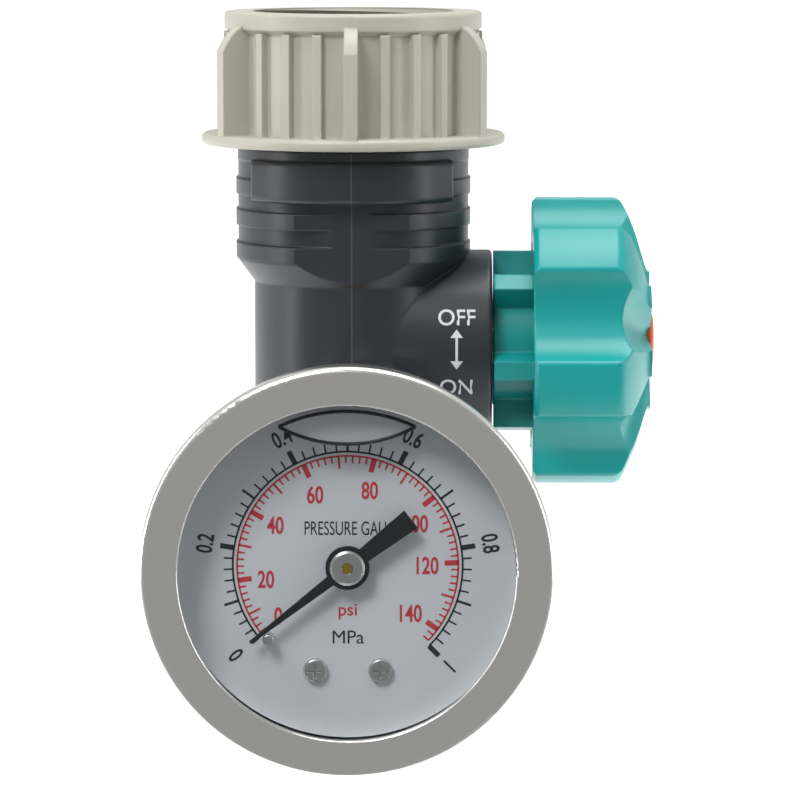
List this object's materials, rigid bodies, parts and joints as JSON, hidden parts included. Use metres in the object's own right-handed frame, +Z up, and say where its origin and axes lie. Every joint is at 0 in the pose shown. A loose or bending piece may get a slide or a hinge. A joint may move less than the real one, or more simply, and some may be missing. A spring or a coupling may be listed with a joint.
{
  "type": "hose pressure valve with gauge",
  "caption": "Hand-set hose water pressure valve with a swivel inlet nut on top, a lobed side knob and a liquid-filled dial gauge in front.",
  "frame": {"origin": "centre of the mouth of the swivel inlet nut", "axes": "+Z up out of the inlet nut's mouth, +X along the knob's axis away from the body, -Y out of the gauge's dial"},
  "size_m": [0.0599, 0.0653, 0.088],
  "materials": {
    "body_plastic": "satin",
    "nut_plastic": "satin",
    "black_plastic": "matte",
    "rubber": "matte",
    "stainless": "satin",
    "brass": "satin",
    "knob_plastic": "satin",
    "cap_plastic": "satin",
    "clear_plastic": "polished",
    "dial_enamel": "satin"
  },
  "bodies": {
    "valve": {"valve_body": "body_plastic", "tailpiece": "black_plastic", "tailpiece_o_ring": "rubber", "inlet_washer": "rubber", "inlet_screen": "stainless", "bonnet": "black_plastic", "bonnet_o_ring": "rubber", "bonnet_clip": "stainless", "spindle_o_rings": "rubber", "gauge_stem": "brass", "stem_washer": "rubber", "gauge_case": "stainless", "fill_plug": "rubber", "case_screws": "stainless", "bezel": "stainless", "lens": "clear_plastic", "lens_gasket": "rubber", "dial_plate": "dial_enamel", "stop_pin": "black_plastic", "dial_screws": "stainless", "movement_rear_plate": "brass", "movement_front_plate": "brass", "movement_pillars": "brass", "bourdon_tube": "brass"},
    "nut": {"swivel_nut": "nut_plastic"},
    "knob_group": {"knob": "knob_plastic", "knob_screw": "stainless", "knob_cap": "cap_plastic", "spindle": "brass"},
    "plunger_group": {"plunger": "brass", "seat_washer": "rubber", "washer_screw": "stainless"},
    "pointer_group": {"pointer": "black_plastic", "pointer_hub": "stainless", "pinion_shaft": "brass"},
    "sector_group": {"sector_gear": "brass"},
    "link_group": {"link": "brass"}
  },
  "joints": [
    {"name": "nut_swivel", "type": "hinge", "parent": "valve", "child": "nut", "pos_m": [0, 0, -0.008], "axis": [0, 0, 1], "continuous": true},
    {"name": "knob_turn", "type": "hinge", "parent": "valve", "child": "knob_group", "pos_m": [0.0268, 0, -0.04], "axis": [1, 0, 0], "range_deg": [0, 540]},
    {"name": "plunger_lift", "type": "slide", "parent": "valve", "child": "plunger_group", "axis": [1, 0, 0], "range_m": [0, 0.003]},
    {"name": "pointer_turn", "type": "hinge", "parent": "valve", "child": "pointer_group", "pos_m": [0, -0.0419, -0.06155], "axis": [0, 1, 0], "range_deg": [0, 262.8]},
    {"name": "sector_swing", "type": "hinge", "parent": "valve", "child": "sector_group", "pos_m": [0, -0.0295, -0.07205], "axis": [0, 1, 0], "range_deg": [-52.56, 0]},
    {"name": "link_pivot", "type": "hinge", "parent": "sector_group", "child": "link_group", "pos_m": [-0.0036, -0.0308, -0.0703], "axis": [0, 1, 0], "range_deg": [0, 52.56]}
  ],
  "couplings": [
    {"joint": "plunger_lift", "follows": "knob_turn", "m_per_rad": 0.00031831},
    {"joint": "sector_swing", "follows": "pointer_turn", "ratio": -0.2},
    {"joint": "link_pivot", "follows": "pointer_turn", "ratio": 0.2}
  ]
}
